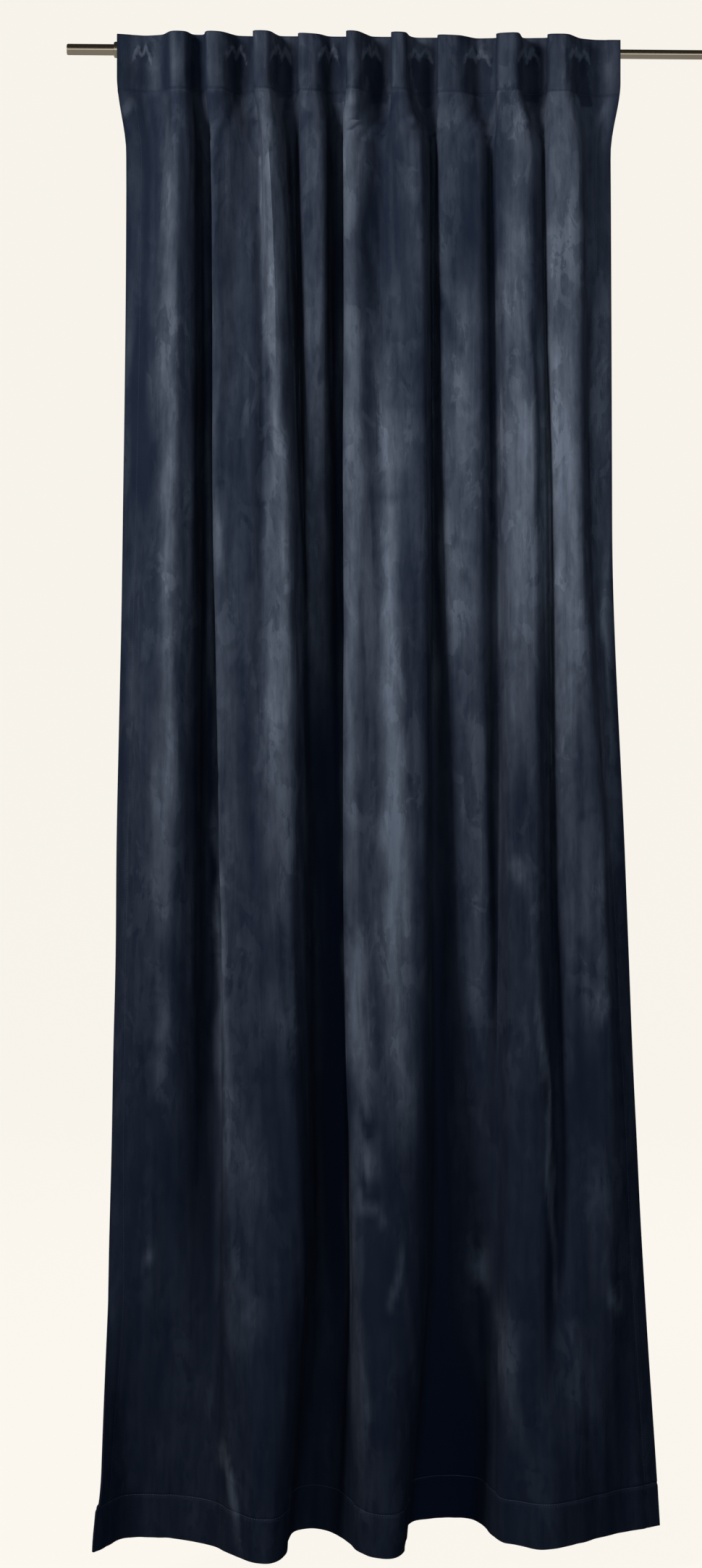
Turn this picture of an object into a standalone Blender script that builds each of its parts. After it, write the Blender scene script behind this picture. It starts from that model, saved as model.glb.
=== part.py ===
"""Velvet curtain hanging on its rod: one cloth panel, its back tabs and the rod.

Metres, +Z up. The origin is on the rod's axis at the middle of the curtain's width.
+X runs along the rod to the right, -Y is the room side and +Y the wall side.
"""
import math
from collections import namedtuple

import bmesh
import bpy
import numpy as np

COLLECTION_NAME = "velvet_curtain"

# The cloth as it is cut and sewn
CLOTH_WIDTH = 1.400
CLOTH_TOP = 0.021
CLOTH_BOTTOM = -2.475
HEADING_DEPTH = 0.095
HEM_DEPTH = 0.072
SIDE_HEM = 0.025
SINGLE_THICKNESS = 0.0024
DOUBLE_THICKNESS = 0.0040

# The rod, its left finial with a collar, and the plain cap in its right end
ROD_RADIUS = 0.0080
ROD_WALL = 0.0010
ROD_LEFT = -0.4240
ROD_RIGHT = 0.6850
FINIAL_RADIUS = 0.0095
FINIAL_LENGTH = 0.0790
FINIAL_ROUND = 0.0025
COLLAR_RADIUS = 0.0137
COLLAR_LENGTH = 0.0095
COLLAR_ROUND = 0.0030
CAP_LENGTH = 0.0030
CAP_ROUND = 0.0010
PLUG_DEPTH = 0.0200
TOUCHING_GAP = 0.0003
TURNED_SIDES = 32
ROUND_STEPS = 4

# The back tabs, which the rod runs through
TAB_WIDTH = 0.032
TAB_THICKNESS = 0.0012
TAB_TOP = 0.0185
TAB_TOP_SEAM = 0.0060
TAB_BOTTOM = -0.0720
TAB_BOTTOM_SEAM = 0.0090
TAB_ROD_STEPS = 8
SEAM_REACH_ACROSS = 0.008
SEAM_REACH_UP = 0.022
TAB_PLACES = (-0.378, -0.292, -0.217, -0.144, -0.062, 0.012, 0.084, 0.185, 0.265, 0.378)

# How the cloth hangs: in a valley at the heading the middle of the sheet lies this far
# before the rod's axis, and "out" below is measured from there toward the room
VALLEY_BEFORE_AXIS = 0.0120
LEVEL_NAMES = ("heading", "neck", "chest", "waist", "knee", "hem")
LEVEL_HEIGHTS = (-0.05, -0.18, -0.80, -1.35, -1.90, CLOTH_BOTTOM)

# One row for each fold line that runs down the cloth, as (across, out) in mm at each level
Turn = namedtuple("Turn", ("name",) + LEVEL_NAMES)
TURNS = (
    Turn("left_edge", (-427, 21), (-411, 25), (-414, 32), (-424, 42), (-434, 60), (-450, 124)),
    Turn("left_dip", (-381, 4), (-372, 20), (-376, 50), (-391, 70), (-402, 75), (-421, 60)),
    Turn("left_foot", (-349, 15), (-344, 30), (-354, 56), (-362, 71), (-368, 74), (-382, 62)),
    Turn("left_roll", (-335, 58), (-329, 60), (-332, 62), (-331, 72), (-332, 72), (-343, 65)),
    Turn("left_shoulder", (-313, 56), (-306, 50), (-298, 46), (-298, 50), (-302, 58), (-310, 78)),
    Turn("floor_a", (-302, 19), (-286, 6), (-282, 10), (-280, 16), (-282, 42), (-290, 88)),
    Turn("valley_a", (-280, 18), (-260, 4), (-254, 8), (-246, 12), (-250, 35), (-271, 98)),
    Turn("fold_1_left", (-277, 62), (-269, 66), (-264, 74), (-255, 92), (-247, 112), (-245, 127)),
    Turn("fold_1_face", (-254, 56), (-238, 54), (-228, 71), (-228, 90), (-226, 114), (-226, 148)),
    Turn("floor_b", (-228, 12), (-208, 40), (-200, 69), (-208, 90), (-212, 120), (-208, 168)),
    Turn("valley_b", (-192, 8), (-186, 34), (-180, 62), (-192, 91), (-200, 125), (-190, 188)),
    Turn("fold_1_right", (-200, 70), (-178, 73), (-160, 79), (-168, 99), (-156, 131), (-174, 184)),
    Turn("fold_1_lee", (-175, 68), (-160, 58), (-140, 75), (-134, 92), (-120, 120), (-152, 160)),
    Turn("floor_c", (-157, 12), (-139, 8), (-122, 26), (-112, 40), (-108, 60), (-142, 72)),
    Turn("valley_c", (-117, 12), (-128, 4), (-114, 14), (-102, 24), (-98, 34), (-136, 40)),
    Turn("fold_2", (-125, 50), (-113, 54), (-108, 36), (-90, 14), (-84, 20), (-94, 34)),
    Turn("fold_2_lee", (-92, 40), (-82, 48), (-80, 32), (-70, 8), (-66, 12), (-75, 50)),
    Turn("floor_d", (-74, 13), (-66, 4), (-60, 2), (-54, 4), (-50, 8), (-66, 60)),
    Turn("valley_d", (-36, 13), (-43, 0), (-40, 0), (-37, 4), (-36, 8), (-56, 67)),
    Turn("fold_3_left", (-45, 78), (-51, 72), (-50, 76), (-51, 94), (-41, 122), (-18, 159)),
    Turn("fold_3_near", (-28, 73), (-34, 71), (-30, 76), (-20, 95), (-12, 130), (-6, 166)),
    Turn("floor_e", (-2, 15), (8, 42), (6, 66), (2, 94), (4, 136), (4, 170)),
    Turn("valley_e", (40, 14), (22, 38), (22, 66), (16, 96), (14, 140), (11, 173)),
    Turn("fold_3_right", (30, 69), (36, 62), (60, 68), (60, 88), (56, 126), (30, 170)),
    Turn("fold_3_end", (53, 66), (77, 62), (84, 66), (84, 82), (78, 116), (44, 158)),
    Turn("fold_3_lee", (61, 24), (88, 46), (91, 42), (92, 56), (92, 76), (50, 95)),
    Turn("valley_f", (72, 8), (98, 18), (98, 20), (98, 18), (104, 14), (56, 18)),
    Turn("rise_f", (116, 10), (110, 18), (104, 20), (111, 18), (122, 14), (80, 8)),
    Turn("fold_4_left", (109, 44), (111, 46), (120, 46), (138, 42), (154, 30), (106, 0)),
    Turn("fold_4_right", (146, 38), (178, 48), (178, 53), (190, 50), (202, 40), (173, 3)),
    Turn("floor_g", (175, 6), (196, 30), (198, 33), (203, 33), (207, 40), (182, 28)),
    Turn("valley_g", (214, 12), (205, 28), (208, 31), (212, 31), (212, 42), (190, 45)),
    Turn("fold_5_left", (207, 62), (210, 62), (223, 68), (225, 80), (218, 100), (205, 112)),
    Turn("fold_5_right", (241, 73), (262, 68), (269, 70), (268, 78), (280, 104), (240, 125)),
    Turn("fold_5_lee", (253, 13), (276, 50), (282, 50), (284, 54), (296, 80), (254, 140)),
    Turn("valley_h", (300, 18), (286, 38), (296, 40), (300, 38), (308, 62), (268, 154)),
    Turn("fold_6_left", (293, 60), (292, 60), (304, 64), (312, 66), (333, 84), (323, 125)),
    Turn("fold_6_right", (325, 62), (344, 62), (346, 64), (380, 72), (400, 80), (375, 99)),
    Turn("floor_i", (350, 15), (358, 24), (363, 34), (397, 38), (416, 60), (402, 78)),
    Turn("valley_i", (380, 2), (374, 18), (379, 28), (407, 34), (425, 54), (427, 75)),
    Turn("right_edge", (422, 3), (402, 20), (402, 27), (423, 30), (442, 44), (480, 50)),
)

# How softly the cloth bends at the heading, and at the hem where it hangs freer
BEND_AT_TOP = 0.0055
BEND_AT_HEM = 0.017
BEND_GROWS_BELOW = -1.20
SECTION_STEP = 0.0025
LENGTH_TRIES = 6
LENGTH_GAIN = 1.6

# The solid's own grid: its rows are closer at the heading and the hem
COLUMNS = 120
ROW_HEIGHTS = (
    CLOTH_TOP, 0.008, -0.009, -0.030, -0.052, -0.072, -0.092, -0.118, -0.148, -0.180, -0.280, -0.450,
    -0.630, -0.810, -1.000, -1.200, -1.400, -1.600, -1.800, -2.000, -2.180, -2.320, -2.404, CLOTH_BOTTOM,
)

# Where a tab draws the cloth back, under the rod and a little over it
PULL_HALF_WIDTH = 0.013
PULL_BACK = 0.004
PULL_OVER_ROD = 0.4


def smooth_step(start, end, value):
    """Goes from 0 at start to 1 at end, level at both."""
    share = np.clip((value - start) / (end - start), 0.0, 1.0)
    return share * share * (3.0 - 2.0 * share)


def at_height(values, height):
    """Reads a fold line's value at any height, on a smooth curve through its levels."""
    levels = np.array(LEVEL_HEIGHTS)
    steps = np.diff(values) / np.diff(levels)
    slopes = np.zeros(len(levels))
    slopes[-1] = steps[-1]
    for level in range(1, len(steps)):
        if steps[level - 1] * steps[level] > 0.0:
            slopes[level] = 2.0 / (1.0 / steps[level - 1] + 1.0 / steps[level])
    height = min(max(height, levels[-1]), levels[0])
    upper = min(int(np.sum(levels > height)), len(levels) - 1) - 1
    upper = max(upper, 0)
    span = levels[upper + 1] - levels[upper]
    share = (height - levels[upper]) / span
    bend = share * share * (3.0 - 2.0 * share)
    leaving = slopes[upper] * span * share * (1.0 - share) ** 2
    arriving = slopes[upper + 1] * span * share * share * (share - 1.0)
    return values[upper] * (1.0 - bend) + values[upper + 1] * bend + leaving + arriving


def evenly(line, count):
    """Returns count points at even steps along a line, and the line's length."""
    steps = np.linalg.norm(np.diff(line, axis=0), axis=1)
    travel = np.concatenate([[0.0], np.cumsum(steps)])
    wanted = np.linspace(0.0, travel[-1], count)
    points = np.column_stack([np.interp(wanted, travel, line[:, axis]) for axis in range(2)])
    return points, travel[-1]


def rounded(line, bend):
    """Rounds the corners of a line of even points; its two ends stay in place."""
    reach = int(3.0 * bend / SECTION_STEP)
    offsets = np.arange(-reach, reach + 1) * SECTION_STEP
    weights = np.exp(-0.5 * (offsets / bend) ** 2)
    weights /= weights.sum()
    before = 2.0 * line[0] - line[reach:0:-1]
    after = 2.0 * line[-1] - line[-2:-reach - 2:-1]
    padded = np.vstack([before, line, after])
    return np.column_stack([np.convolve(padded[:, axis], weights, "valid") for axis in range(2)])


def section(height, count):
    """The cloth seen from above at one height, its folds as deep as its width needs."""
    across = [at_height(np.array([pair[0] for pair in turn[1:]]), height) for turn in TURNS]
    out = [at_height(np.array([pair[1] for pair in turn[1:]]), height) for turn in TURNS]
    across = np.array(across) / 1000.0
    out = np.array(out) / 1000.0
    bend = BEND_AT_TOP + (BEND_AT_HEM - BEND_AT_TOP) * smooth_step(BEND_GROWS_BELOW, CLOTH_BOTTOM, height)
    samples = int(CLOTH_WIDTH / SECTION_STEP)
    deepen = 1.0
    for _ in range(LENGTH_TRIES):
        line, _ = evenly(np.column_stack([across, out * deepen]), samples)
        line, length = evenly(rounded(line, bend), count)
        deepen *= 1.0 + LENGTH_GAIN * (CLOTH_WIDTH / length - 1.0)
    return line


def tab_pull(across, height):
    """How far the tabs draw the cloth back toward the wall."""
    under_rod = smooth_step(-0.014, -0.050, height) * smooth_step(-0.130, -0.075, height)
    over_rod = smooth_step(0.010, CLOTH_TOP, height) * PULL_OVER_ROD
    near = sum(np.exp(-0.5 * ((across - place) / PULL_HALF_WIDTH) ** 2) for place in TAB_PLACES)
    return PULL_BACK * (under_rod + over_rod) * np.minimum(near, 1.0)


def sheet_row(height, count):
    """The middle of the sheet at one height, as points of the part."""
    line = section(height, count)
    depth = -VALLEY_BEFORE_AXIS - line[:, 1] + tab_pull(line[:, 0], height)
    return np.column_stack([line[:, 0], depth, np.full(count, height)])


def make_material(name, color, metallic, roughness):
    material = bpy.data.materials.new(name)
    material.use_nodes = True
    shader = material.node_tree.nodes["Principled BSDF"]
    shader.inputs["Base Color"].default_value = (*color, 1.0)
    shader.inputs["Metallic"].default_value = metallic
    shader.inputs["Roughness"].default_value = roughness
    return material


def place_object(name, mesh, material, parts, root):
    mesh.materials.append(material)
    mesh.shade_smooth()
    mesh.set_sharp_from_angle(angle=math.radians(40))
    made = bpy.data.objects.new(name, mesh)
    made.parent = root
    parts.objects.link(made)
    return made


def add_solidify(target, thickness):
    solidify = target.modifiers.new("thickness", "SOLIDIFY")
    solidify.thickness = thickness
    solidify.offset = 0.0
    solidify.use_even_offset = True
    return solidify


def add_curtain(velvet, parts, root):
    """One sheet, thicker where the heading, the hem and the side hems are turned over."""
    rows = [sheet_row(height, COLUMNS) for height in ROW_HEIGHTS]
    mesh = bpy.data.meshes.new("curtain")
    grid = bmesh.new()
    bmesh.ops.create_grid(grid, x_segments=COLUMNS - 1, y_segments=len(rows) - 1, size=1.0)
    grid.verts.index_update()
    doubled = []
    for vertex in grid.verts:
        column = round((vertex.co.x + 1.0) / 2.0 * (COLUMNS - 1))
        row = round((1.0 - vertex.co.y) / 2.0 * (len(rows) - 1))
        vertex.co = rows[row][column]
        from_side = min(column, COLUMNS - 1 - column) * CLOTH_WIDTH / (COLUMNS - 1)
        in_heading = CLOTH_TOP - vertex.co.z < HEADING_DEPTH
        in_hem = vertex.co.z - CLOTH_BOTTOM < HEM_DEPTH
        if in_heading or in_hem or from_side < SIDE_HEM:
            doubled.append(vertex.index)
    grid.to_mesh(mesh)
    grid.free()
    curtain = place_object("curtain", mesh, velvet, parts, root)
    group = curtain.vertex_groups.new(name="doubled")
    group.add(doubled, 1.0, "REPLACE")
    solidify = add_solidify(curtain, DOUBLE_THICKNESS)
    solidify.vertex_group = group.name
    solidify.thickness_vertex_group = SINGLE_THICKNESS / DOUBLE_THICKNESS
    return curtain


def cloth_back(curtain, place, height):
    """How far toward the wall the cloth reaches behind a tab at one height."""
    seen = curtain.evaluated_get(bpy.context.evaluated_depsgraph_get())
    corners = np.array([tuple(vertex.co) for vertex in seen.data.vertices])
    at_tab = np.abs(corners[:, 0] - place) < TAB_WIDTH / 2 + SEAM_REACH_ACROSS
    at_row = np.abs(corners[:, 2] - height) < SEAM_REACH_UP
    return corners[at_tab & at_row][:, 1].max()


def tangent_angle(point, radius, side):
    """The angle on a circle round the rod's axis where a straight strip from a point meets it."""
    far = math.hypot(*point)
    return math.atan2(point[1], point[0]) + side * math.acos(radius / far)


def add_tab(name, place, curtain, velvet, parts, root):
    """A strip sewn to the cloth over the rod, led behind the rod and sewn on again below it."""
    lift = TOUCHING_GAP + TAB_THICKNESS / 2
    radius = ROD_RADIUS + lift
    top = cloth_back(curtain, place, TAB_TOP) + lift
    bottom = cloth_back(curtain, place, TAB_BOTTOM) + lift
    leaves_cloth = (top, TAB_TOP - TAB_TOP_SEAM)
    meets_cloth = (bottom, TAB_BOTTOM + TAB_BOTTOM_SEAM)
    start = tangent_angle(leaves_cloth, radius, -1)
    end = tangent_angle(meets_cloth, radius, 1)
    path = [(top, TAB_TOP), leaves_cloth]
    for step in range(TAB_ROD_STEPS + 1):
        angle = start + (end - start) * step / TAB_ROD_STEPS
        path.append((radius * math.cos(angle), radius * math.sin(angle)))
    path += [meets_cloth, (bottom, TAB_BOTTOM)]
    mesh = bpy.data.meshes.new(name)
    strip = bmesh.new()
    line = [strip.verts.new((-TAB_WIDTH / 2, y, z)) for y, z in path]
    edges = [strip.edges.new(pair) for pair in zip(line, line[1:])]
    swept = bmesh.ops.extrude_edge_only(strip, edges=edges)["geom"]
    moved = [item for item in swept if isinstance(item, bmesh.types.BMVert)]
    bmesh.ops.translate(strip, verts=moved, vec=(TAB_WIDTH, 0.0, 0.0))
    strip.to_mesh(mesh)
    strip.free()
    tab = place_object(name, mesh, velvet, parts, root)
    tab.location.x = place
    add_solidify(tab, TAB_THICKNESS)


def round_corner(across, along, radius):
    """Points of a rounded outer corner, a quarter turn from the end face to the side."""
    angles = [math.radians(90.0 * (1.0 - step / ROUND_STEPS)) for step in range(ROUND_STEPS + 1)]
    return [(across + radius * math.cos(turn), along + radius * math.sin(turn)) for turn in angles]


def add_turned(name, profile, closed, start, toward, material, parts, root):
    """Turns a profile of (radius, along) round the rod's axis; along runs toward left or right."""
    mesh = bpy.data.meshes.new(name)
    outline = bmesh.new()
    points = [outline.verts.new((radius, 0.0, along)) for radius, along in profile]
    ring = points + points[:1] if closed else points
    for pair in zip(ring, ring[1:]):
        outline.edges.new(pair)
    outline.to_mesh(mesh)
    outline.free()
    turned = place_object(name, mesh, material, parts, root)
    turned.location.x = start
    turned.rotation_euler.y = math.radians(90.0 * toward)
    screw = turned.modifiers.new("turn", "SCREW")
    screw.steps = TURNED_SIDES
    screw.render_steps = TURNED_SIDES
    screw.use_merge_vertices = True
    screw.merge_threshold = 0.00001
    screw.use_smooth_shade = True


def add_rod(steel, parts, root):
    """An open tube from the finial's collar to the cap."""
    length = ROD_RIGHT - ROD_LEFT
    inner = ROD_RADIUS - ROD_WALL
    profile = [(ROD_RADIUS, length), (ROD_RADIUS, 0.0), (inner, 0.0), (inner, length)]
    add_turned("rod", profile, True, ROD_LEFT, 1, steel, parts, root)


def add_finial(steel, parts, root):
    """A plug inside the rod, a collar and a plain round end."""
    plug = ROD_RADIUS - ROD_WALL - TOUCHING_GAP
    end = COLLAR_LENGTH + FINIAL_LENGTH
    profile = [(0.0, end)]
    profile += round_corner(FINIAL_RADIUS - FINIAL_ROUND, end - FINIAL_ROUND, FINIAL_ROUND)
    profile += [(FINIAL_RADIUS, COLLAR_LENGTH)]
    profile += round_corner(COLLAR_RADIUS - COLLAR_ROUND, COLLAR_LENGTH - COLLAR_ROUND, COLLAR_ROUND)
    profile += [(COLLAR_RADIUS, 0.0), (plug, 0.0), (plug, -PLUG_DEPTH), (0.0, -PLUG_DEPTH)]
    add_turned("finial_left", profile, False, ROD_LEFT - TOUCHING_GAP, -1, steel, parts, root)


def add_cap(steel, parts, root):
    """The plain cap that closes the rod's right end."""
    plug = ROD_RADIUS - ROD_WALL - TOUCHING_GAP
    profile = [(0.0, CAP_LENGTH)]
    profile += round_corner(ROD_RADIUS - CAP_ROUND, CAP_LENGTH - CAP_ROUND, CAP_ROUND)
    profile += [(ROD_RADIUS, 0.0), (plug, 0.0), (plug, -PLUG_DEPTH), (0.0, -PLUG_DEPTH)]
    add_turned("cap_right", profile, False, ROD_RIGHT + TOUCHING_GAP, 1, steel, parts, root)


def main():
    for old in list(bpy.data.objects):
        bpy.data.objects.remove(old, do_unlink=True)
    parts = bpy.data.collections.new(COLLECTION_NAME)
    bpy.context.scene.collection.children.link(parts)
    root = bpy.data.objects.new("hung_curtain", None)
    parts.objects.link(root)
    velvet = make_material("navy_velvet", (0.022, 0.030, 0.052), 0.0, 0.9)
    steel = make_material("brushed_steel", (0.42, 0.40, 0.36), 1.0, 0.35)
    curtain = add_curtain(velvet, parts, root)
    for number, place in enumerate(TAB_PLACES, start=1):
        add_tab(f"back_tab_{number:02d}", place, curtain, velvet, parts, root)
    add_rod(steel, parts, root)
    add_finial(steel, parts, root)
    add_cap(steel, parts, root)


main()
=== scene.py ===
"""Velvet curtain on its rod: the looks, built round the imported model.

Metres, +Z up, the origin on the rod's axis at the middle of the curtain's width.
+X runs along the rod to the right, -Y is the room side and +Y the wall side.
"""

import math
from collections import namedtuple

import bpy
import numpy as np
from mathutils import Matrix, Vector


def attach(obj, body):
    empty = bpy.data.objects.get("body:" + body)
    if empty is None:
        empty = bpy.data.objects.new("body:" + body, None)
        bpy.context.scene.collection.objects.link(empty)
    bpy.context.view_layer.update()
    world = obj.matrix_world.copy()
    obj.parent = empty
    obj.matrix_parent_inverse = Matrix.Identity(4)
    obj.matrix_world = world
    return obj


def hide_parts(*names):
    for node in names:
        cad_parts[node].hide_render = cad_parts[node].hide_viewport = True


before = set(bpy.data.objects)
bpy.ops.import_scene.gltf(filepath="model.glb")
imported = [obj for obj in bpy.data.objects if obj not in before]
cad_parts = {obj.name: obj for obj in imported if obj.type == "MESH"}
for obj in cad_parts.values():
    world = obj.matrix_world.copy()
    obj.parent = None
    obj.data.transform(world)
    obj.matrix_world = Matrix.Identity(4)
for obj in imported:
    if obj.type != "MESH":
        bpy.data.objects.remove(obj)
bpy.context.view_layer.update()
bpy.ops.object.select_all(action="DESELECT")

# The camera: level, a little below the rod's middle and left of square to the curtain.
# Its axis meets the photo at one named pixel, so the frame is shifted down the cloth.
PHOTO_WIDTH = 970
PHOTO_HEIGHT = 2166
AXIS_PIXEL_X = 485.0
AXIS_PIXEL_Y = 740.0
CAMERA_DISTANCE = 4.30
CAMERA_TURN = math.radians(2.56)
CAMERA_HEIGHT = -0.818
AIM_ACROSS = -0.034
PIXEL_AT_ROD = 0.001224
SENSOR = 36.0

scene = bpy.context.scene
camera_data = bpy.data.cameras.new("camera")
camera = bpy.data.objects.new("camera", camera_data)
scene.collection.objects.link(camera)
camera_data.sensor_width = SENSOR
camera_data.sensor_fit = "AUTO"
camera_data.lens = CAMERA_DISTANCE / PIXEL_AT_ROD / PHOTO_HEIGHT * SENSOR
camera_data.shift_x = (PHOTO_WIDTH / 2 - AXIS_PIXEL_X) / PHOTO_HEIGHT
camera_data.shift_y = (AXIS_PIXEL_Y - PHOTO_HEIGHT / 2) / PHOTO_HEIGHT
camera_data.clip_start = 0.05
camera_data.clip_end = 100.0
camera.location = (
    AIM_ACROSS - CAMERA_DISTANCE * math.sin(CAMERA_TURN),
    -CAMERA_DISTANCE * math.cos(CAMERA_TURN),
    CAMERA_HEIGHT,
)
camera.rotation_euler = (math.radians(90.0), 0.0, -CAMERA_TURN)
bpy.context.scene.camera = camera

# The light: a soft lamp high on the left, weak ones on the right, in front and below, one for
# the cloth's back, and a dim sky. The camera sees a pale backdrop and floor; the steel
# reflects a dark ceiling, a bright window band and a warm floor, as in a plain studio.
PALE = (0.930, 0.896, 0.831)
SKY_LIGHT = (0.060, 0.075, 0.102)
CEILING = (0.036, 0.031, 0.023)
WINDOW_BAND = (0.86, 0.80, 0.68)
WARM_FLOOR = (0.30, 0.275, 0.235)
BAND_EDGES = (-0.14, -0.06, 0.24, 0.32)
FLOOR_TINT = (0.02, 0.019, 0.018)
FLOOR_HEIGHT = -2.56
FLOOR_SIZE = 60.0

Lamp = namedtuple("Lamp", ("name", "power", "size", "place", "toward", "tint", "spread"))
LAMPS = (
    Lamp("key_lamp", 129.0, 0.7, (-2.2, -2.0, 0.9), (0.0, 0.0, -0.5), (1.0, 0.93, 0.87), 110.0),
    Lamp("fill_lamp", 16.0, 0.9, (1.9, -2.2, 0.4), (0.0, 0.0, -0.6), (0.96, 0.98, 1.0), 110.0),
    Lamp("front_lamp", 30.0, 0.7, (-0.25, -4.0, -0.25), (0.0, 0.0, -0.7), (0.93, 0.97, 1.0), 110.0),
    Lamp("back_lamp", 150.0, 1.4, (1.0, 3.4, 0.6), (0.0, 0.0, -0.9), (1.0, 0.98, 0.96), 120.0),
    Lamp("floor_bounce", 6.0, 1.8, (0.0, -1.3, -2.5), (0.0, 0.0, -2.0), (0.76, 0.92, 1.0), 150.0),
)

scene.view_settings.view_transform = "Standard"
scene.view_settings.look = "None"

for row in LAMPS:
    light = bpy.data.lights.new(row.name, "AREA")
    light.energy = row.power
    light.size = row.size
    light.color = row.tint
    light.spread = math.radians(row.spread)
    lamp = bpy.data.objects.new(row.name, light)
    lamp.visible_camera = False
    lamp.visible_glossy = False
    lamp.location = row.place
    lamp.rotation_euler = (Vector(row.toward) - Vector(row.place)).to_track_quat("-Z", "Y").to_euler()
    scene.collection.objects.link(lamp)

world = bpy.data.worlds.new("studio")
scene.world = world
world.use_nodes = True
sky = world.node_tree.nodes
links = world.node_tree.links
sky.clear()


def add_background(tint):
    """A plain background shader of one colour."""
    background = sky.new("ShaderNodeBackground")
    background.inputs["Color"].default_value = (*tint, 1.0)
    return background


backdrop = add_background(PALE)
dim_sky = add_background(SKY_LIGHT)
reflected = add_background(CEILING)
direction = sky.new("ShaderNodeTexCoord")
height_of = sky.new("ShaderNodeSeparateXYZ")
height_share = sky.new("ShaderNodeMapRange")
height_share.inputs["From Min"].default_value = -1.0
bands = sky.new("ShaderNodeValToRGB")
bands.color_ramp.elements[0].color = (*WARM_FLOOR, 1.0)
bands.color_ramp.elements[1].color = (*CEILING, 1.0)
for edge, tint in zip(BAND_EDGES, (WARM_FLOOR, WINDOW_BAND, WINDOW_BAND, CEILING)):
    stop = bands.color_ramp.elements.new(0.5 + edge / 2.0)
    stop.color = (*tint, 1.0)
paths = sky.new("ShaderNodeLightPath")
lit_or_reflected = sky.new("ShaderNodeMixShader")
seen_or_not = sky.new("ShaderNodeMixShader")
output = sky.new("ShaderNodeOutputWorld")
links.new(direction.outputs["Generated"], height_of.inputs[0])
links.new(height_of.outputs["Z"], height_share.inputs["Value"])
links.new(height_share.outputs["Result"], bands.inputs["Fac"])
links.new(bands.outputs["Color"], reflected.inputs["Color"])
links.new(paths.outputs["Is Glossy Ray"], lit_or_reflected.inputs["Fac"])
links.new(dim_sky.outputs[0], lit_or_reflected.inputs[1])
links.new(reflected.outputs[0], lit_or_reflected.inputs[2])
links.new(paths.outputs["Is Camera Ray"], seen_or_not.inputs["Fac"])
links.new(lit_or_reflected.outputs[0], seen_or_not.inputs[1])
links.new(backdrop.outputs[0], seen_or_not.inputs[2])
links.new(seen_or_not.outputs[0], output.inputs["Surface"])

bpy.ops.mesh.primitive_plane_add(size=FLOOR_SIZE, location=(0.0, 0.0, FLOOR_HEIGHT))
floor = bpy.context.object
floor.name = "floor"
floor_paint = bpy.data.materials.new("pale_floor")
floor_paint.use_nodes = True
floor_shader = floor_paint.node_tree.nodes["Principled BSDF"]
floor_shader.inputs["Base Color"].default_value = (*FLOOR_TINT, 1.0)
floor_shader.inputs["Roughness"].default_value = 1.0
floor_shader.inputs["Specular IOR Level"].default_value = 0.0
floor_shader.inputs["Emission Color"].default_value = (*PALE, 1.0)
floor_shader.inputs["Emission Strength"].default_value = 1.0
floor.data.materials.append(floor_paint)
floor.visible_diffuse = False
floor.visible_glossy = False

# The curtain: one panel of navy velvet, 1.40 m by 2.50 m flat, hung in uneven folds.
# Each row below is a fold line that runs down the cloth; between them the cloth bends
# softly, and at every height the folds are as deep as its full width needs.
CLOTH_WIDTH = 1.400
CLOTH_DROP = 2.496
CLOTH_TOP = 0.021
CLOTH_BOTTOM = CLOTH_TOP - CLOTH_DROP
HEADING_DEPTH = 0.095
HEM_DEPTH = 0.072
SIDE_HEM = 0.025
SINGLE_THICKNESS = 0.0024
DOUBLE_THICKNESS = 0.0040
VALLEY_BEFORE_AXIS = 0.0120
TAB_PLACES = (-0.378, -0.292, -0.217, -0.144, -0.062, 0.012, 0.084, 0.185, 0.265, 0.378)
LEVEL_NAMES = ("heading", "neck", "chest", "waist", "knee", "hem")
LEVEL_HEIGHTS = (-0.05, -0.18, -0.80, -1.35, -1.90, CLOTH_BOTTOM)

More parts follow.
